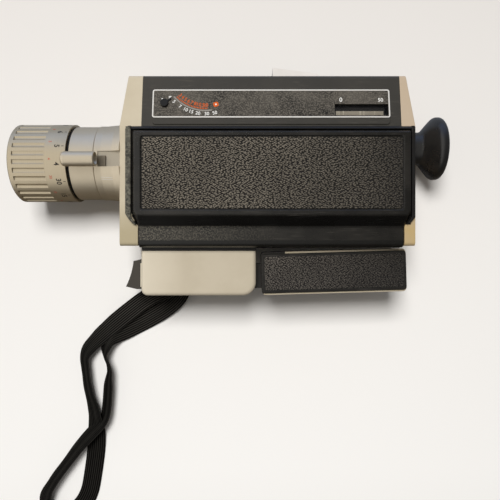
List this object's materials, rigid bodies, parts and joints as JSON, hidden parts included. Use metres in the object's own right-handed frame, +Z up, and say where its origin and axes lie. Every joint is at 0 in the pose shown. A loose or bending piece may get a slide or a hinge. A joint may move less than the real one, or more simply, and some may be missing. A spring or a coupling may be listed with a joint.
{
  "type": "movie camera",
  "caption": "Cartridge home movie camera lying on its side: zoom lens, side film door, top zoom rocker, viewfinder, trigger and a hand grip that folds down",
  "frame": {"origin": "on the table under the middle of the camera's length and height, measured without the strap", "axes": "+X runs from the lens to the eyepiece, +Y runs from the grip to the top of the camera, +Z points up from the table out of the camera's left side"},
  "size_m": [0.2806, 0.311, 0.0651],
  "materials": {
    "champagne_metal": "satin",
    "black_shell": "satin",
    "black_plastic": "fine grain",
    "lens_metal": "satin",
    "leatherette": "pebbled",
    "name_panel": "fine grain",
    "bright_trim": "polished",
    "window_glass": "clear",
    "lens_glass": "coated",
    "scale_plastic": "printed",
    "grey_plastic": "satin",
    "olive_plastic": "satin",
    "board": "lacquered",
    "steel": "ground",
    "brass": "turned",
    "eyecup_rubber": "satin",
    "webbing": "ribbed weave",
    "cell_jacket": "gloss"
  },
  "bodies": {
    "camera": {"front_casting": "champagne_metal", "rear_casting": "champagne_metal", "chassis": "black_plastic", "upper_cover": "black_shell", "nameplate": "name_panel", "nameplate_border": "bright_trim", "counter_window": "window_glass", "rocker_pin": "steel", "circuit_board": "board", "door_surround": "black_plastic", "door_hinge_pins": "steel", "right_cover": "black_shell", "right_leather": "leatherette", "screws": "steel", "base_plate": "black_shell", "lens_barrel": "lens_metal", "lens_tube": "brass", "seam_ring": "black_plastic", "exposure_meter": "black_plastic", "prime_lens": "lens_glass", "finder_prisms": "lens_glass", "finder_tube": "brass", "finder_lenses": "lens_glass", "eyepiece_tube": "black_shell", "film_gate": "steel", "motor": "steel", "batteries": "cell_jacket", "grip_left_shell": "champagne_metal", "grip_right_shell": "champagne_metal", "grip_pins": "steel", "trigger_spring": "steel", "trigger_switch": "black_plastic", "tripod_socket": "steel", "strap_lug": "steel", "wrist_strap": "webbing"},
    "focus": {"focus_ring": "lens_metal", "front_lens": "lens_glass", "lens_retainer": "black_shell"},
    "zoom": {"zoom_ring": "lens_metal", "zoom_lever": "lens_metal"},
    "zoom_group": {"zoom_cell": "brass", "zoom_lens": "lens_glass"},
    "iris": {"iris_vane": "steel"},
    "rocker": {"zoom_rocker": "grey_plastic"},
    "knob": {"index_knob": "black_plastic"},
    "counter": {"counter_drum": "scale_plastic"},
    "door": {"film_door": "black_shell", "door_leather": "leatherette", "pressure_spring": "steel"},
    "latch": {"door_latch": "black_plastic"},
    "eye": {"eyecup": "eyecup_rubber"},
    "shutter": {"shutter_shaft": "brass", "shutter_disc": "steel"},
    "rotor": {"motor_shaft": "steel"},
    "takeup": {"takeup_spindle": "grey_plastic"},
    "claw_plate": {"claw": "steel"},
    "trigger_lever": {"trigger": "olive_plastic"},
    "handle": {"handle_core": "champagne_metal", "handle_left_cover": "leatherette", "handle_right_cover": "leatherette"}
  },
  "joints": [
    {"name": "focus_turn", "type": "hinge", "parent": "camera", "child": "focus", "pos_m": [-0.11915, 0.01365, 0.03], "axis": [1, 0, 0], "range_deg": [-135, 135]},
    {"name": "zoom_turn", "type": "hinge", "parent": "camera", "child": "zoom", "pos_m": [-0.09315, 0.01365, 0.03], "axis": [1, 0, 0], "range_deg": [-35, 35]},
    {"name": "zoom_slide", "type": "slide", "parent": "camera", "child": "zoom_group", "axis": [1, 0, 0], "range_m": [-0.007, 0.007]},
    {"name": "iris_swing", "type": "hinge", "parent": "camera", "child": "iris", "pos_m": [-0.07965, 0.00105, 0.03], "axis": [1, 0, 0], "range_deg": [0, 30]},
    {"name": "rocker_tilt", "type": "hinge", "parent": "camera", "child": "rocker", "pos_m": [0.03925, 0.06115, 0.038], "axis": [0, 0, 1], "range_deg": [-6, 6], "stiffness_Nm_per_rad": 0.08},
    {"name": "index_turn", "type": "hinge", "parent": "camera", "child": "knob", "pos_m": [-0.04185, 0.04712, 0.05275], "axis": [0, 0.1507, 0.9886], "range_deg": [-60, 60]},
    {"name": "counter_turn", "type": "hinge", "parent": "camera", "child": "counter", "pos_m": [0.07885, 0.04191, 0.04444], "axis": [1, 0, 0], "range_deg": [0, 330]},
    {"name": "door_swing", "type": "hinge", "parent": "camera", "child": "door", "pos_m": [0.02365, -0.03715, 0.0498], "axis": [1, 0, 0], "range_deg": [0, 75]},
    {"name": "latch_slide", "type": "slide", "parent": "camera", "child": "latch", "axis": [0, 1, 0], "range_m": [0, 0.003], "stiffness_N_per_m": 300, "springref_m": -0.002},
    {"name": "eyecup_turn", "type": "hinge", "parent": "camera", "child": "eye", "pos_m": [0.11885, 0.02505, 0.0217], "axis": [1, 0, 0], "range_deg": [-60, 60]},
    {"name": "shutter_spin", "type": "hinge", "parent": "camera", "child": "shutter", "pos_m": [-0.03615, 0.00115, 0.025], "axis": [1, 0, 0], "continuous": true},
    {"name": "motor_spin", "type": "hinge", "parent": "camera", "child": "rotor", "pos_m": [-0.00915, -0.00436, 0.016], "axis": [1, 0, 0], "continuous": true},
    {"name": "takeup_spin", "type": "hinge", "parent": "camera", "child": "takeup", "pos_m": [0.02285, -0.01572, 0.02], "axis": [0, 0, 1], "continuous": true},
    {"name": "claw_slide", "type": "slide", "parent": "camera", "child": "claw_plate", "axis": [0, 1, 0], "range_m": [-0.0019, 0.0019]},
    {"name": "trigger_pull", "type": "hinge", "parent": "camera", "child": "trigger_lever", "pos_m": [-0.05455, -0.04785, 0.03], "axis": [0, 0, 1], "range_deg": [0, 9], "stiffness_Nm_per_rad": 0.2, "springref_deg": -11.46},
    {"name": "handle_fold", "type": "hinge", "parent": "camera", "child": "handle", "pos_m": [0.00555, -0.06005, 0.03], "axis": [0, 0, -1], "range_deg": [0, 90]}
  ],
  "couplings": [
    {"joint": "zoom_slide", "follows": "zoom_turn", "m_per_rad": 0.011459},
    {"joint": "motor_spin", "follows": "shutter_spin", "ratio": -4},
    {"joint": "takeup_spin", "follows": "shutter_spin", "ratio": -0.11111}
  ]
}
